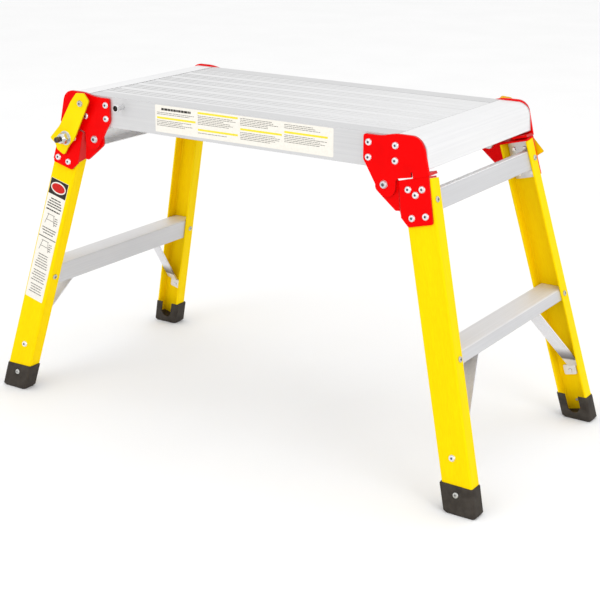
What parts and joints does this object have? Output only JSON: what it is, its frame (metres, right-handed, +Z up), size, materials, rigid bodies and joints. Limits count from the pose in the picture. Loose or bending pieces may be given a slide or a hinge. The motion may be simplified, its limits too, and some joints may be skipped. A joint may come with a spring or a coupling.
{
  "type": "platform step ladder",
  "caption": "Folding work platform: flat ribbed deck on splayed leg frames with a step at each end, hinged brackets, swing lock levers with pull pins and rubber boots.",
  "frame": {"origin": "on the floor under the middle of the deck", "axes": "+X along the deck, +Y to the rear, +Z up"},
  "size_m": [1.0612, 0.515, 0.6039],
  "materials": {
    "deck_aluminium": "brushed extruded, fine lengthwise ridges",
    "frame_aluminium": "mill finish sheet",
    "red_steel": "smooth powder coat",
    "fibreglass": "pultruded, satin, fine lengthwise fibres",
    "lever_yellow": "powder coat",
    "boot_rubber": "moulded, matte",
    "rivet_aluminium": "bright, set",
    "fastener_steel": "zinc plated",
    "plated_steel": "zinc plated",
    "bright_steel": "nickel plated",
    "pin_steel": "blackened",
    "spring_steel": "wire",
    "label_print": "printed vinyl"
  },
  "bodies": {
    "deck": {"deck_plank_1": "deck_aluminium", "deck_plank_2": "deck_aluminium", "deck_plank_3": "deck_aluminium", "deck_plank_4": "deck_aluminium", "deck_plank_5": "deck_aluminium", "deck_plank_6": "deck_aluminium", "side_rail_front": "deck_aluminium", "side_rail_rear": "deck_aluminium", "end_rail_left": "deck_aluminium", "end_rail_right": "deck_aluminium", "deck_rib_left": "deck_aluminium", "deck_rib_middle": "deck_aluminium", "deck_rib_right": "deck_aluminium", "hinge_plate_front_right": "red_steel", "hinge_plate_rear_right": "red_steel", "hinge_plate_front_left": "red_steel", "hinge_plate_rear_left": "red_steel", "deck_rivets": "rivet_aluminium", "hinge_bolts": "fastener_steel", "lever_pivots": "fastener_steel", "parking_pins": "fastener_steel", "rail_label": "label_print"},
    "leg_frame_right": {"leg_front_right": "fibreglass", "leg_rear_right": "fibreglass", "lower_bracket_front_right": "red_steel", "lower_bracket_rear_right": "red_steel", "backing_plate_front_right": "plated_steel", "backing_plate_rear_right": "plated_steel", "boot_front_right": "boot_rubber", "boot_rear_right": "boot_rubber", "brace_front_right": "frame_aluminium", "brace_rear_right": "frame_aluminium", "step_right": "frame_aluminium", "cross_member_right": "frame_aluminium", "rivets_right": "rivet_aluminium", "screws_right": "fastener_steel"},
    "leg_frame_left": {"leg_front_left": "fibreglass", "leg_rear_left": "fibreglass", "lower_bracket_front_left": "red_steel", "lower_bracket_rear_left": "red_steel", "backing_plate_front_left": "plated_steel", "backing_plate_rear_left": "plated_steel", "boot_front_left": "boot_rubber", "boot_rear_left": "boot_rubber", "brace_front_left": "frame_aluminium", "brace_rear_left": "frame_aluminium", "step_left": "frame_aluminium", "cross_member_left": "frame_aluminium", "rivets_left": "rivet_aluminium", "screws_left": "fastener_steel", "leg_label": "label_print"},
    "lock_front": {"lock_lever_front_left": "lever_yellow", "plunger_housing_front_left": "bright_steel", "plunger_spring_front_left": "spring_steel"},
    "plunger_front": {"plunger_pin_front_left": "pin_steel"},
    "lock_rear": {"lock_lever_rear_right": "lever_yellow", "plunger_housing_rear_right": "bright_steel", "plunger_spring_rear_right": "spring_steel"},
    "plunger_rear": {"plunger_pin_rear_right": "pin_steel"}
  },
  "joints": [
    {"name": "leg_fold_right", "type": "hinge", "parent": "deck", "child": "leg_frame_right", "pos_m": [0.3107, 0, 0.5175], "axis": [0, 1, 0], "range_deg": [0, 110]},
    {"name": "leg_fold_left", "type": "hinge", "parent": "deck", "child": "leg_frame_left", "pos_m": [-0.3107, 0, 0.5175], "axis": [0, -1, 0], "range_deg": [0, 98]},
    {"name": "lever_swing_front", "type": "hinge", "parent": "deck", "child": "lock_front", "pos_m": [-0.3305, -0.2085, 0.584], "axis": [0, -1, 0], "range_deg": [0, 100]},
    {"name": "plunger_pull_front", "type": "slide", "parent": "lock_front", "child": "plunger_front", "axis": [0, -1, 0], "range_m": [0, 0.006], "stiffness_N_per_m": 900, "springref_m": -0.005, "deforming": ["plunger_spring_front_left"]},
    {"name": "lever_swing_rear", "type": "hinge", "parent": "deck", "child": "lock_rear", "pos_m": [0.3305, 0.2085, 0.584], "axis": [0, 1, 0], "range_deg": [0, 100]},
    {"name": "plunger_pull_rear", "type": "slide", "parent": "lock_rear", "child": "plunger_rear", "axis": [0, 1, 0], "range_m": [0, 0.006], "stiffness_N_per_m": 900, "springref_m": -0.005, "deforming": ["plunger_spring_rear_right"]}
  ]
}
